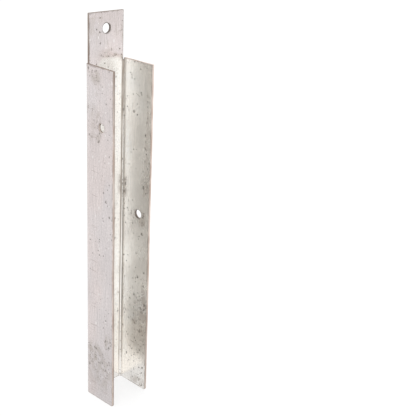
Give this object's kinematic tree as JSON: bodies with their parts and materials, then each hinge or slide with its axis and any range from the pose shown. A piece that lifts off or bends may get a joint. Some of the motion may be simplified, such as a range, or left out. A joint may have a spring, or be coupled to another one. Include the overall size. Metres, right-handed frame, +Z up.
{
  "type": "gravel board bracket",
  "caption": "Folded sheet-steel channel with a screw tab above its web; screws to a fence post and holds the end of a gravel board between its cheeks.",
  "frame": {"origin": "middle of the bounding box's bottom face: on the plane of the channel's cut foot, midway between the cheeks' outer faces and midway between the web's back face and the cheeks' front edges", "axes": "+Z up along the channel to the screw tab; +Y out of the web's back face, towards the post; the channel opens towards -Y, and +X is the right cheek's side as seen from the open front"},
  "size_m": [0.041, 0.035, 0.338],
  "materials": {
    "galvanised_steel": "bright hot-dip or pre-galvanised zinc, semi-gloss, with fine vertical streaks, scuffs and specks, and bare brownish sheared edges"
  },
  "bodies": {
    "root": {"folded_bracket": "galvanised_steel"}
  },
  "joints": []
}
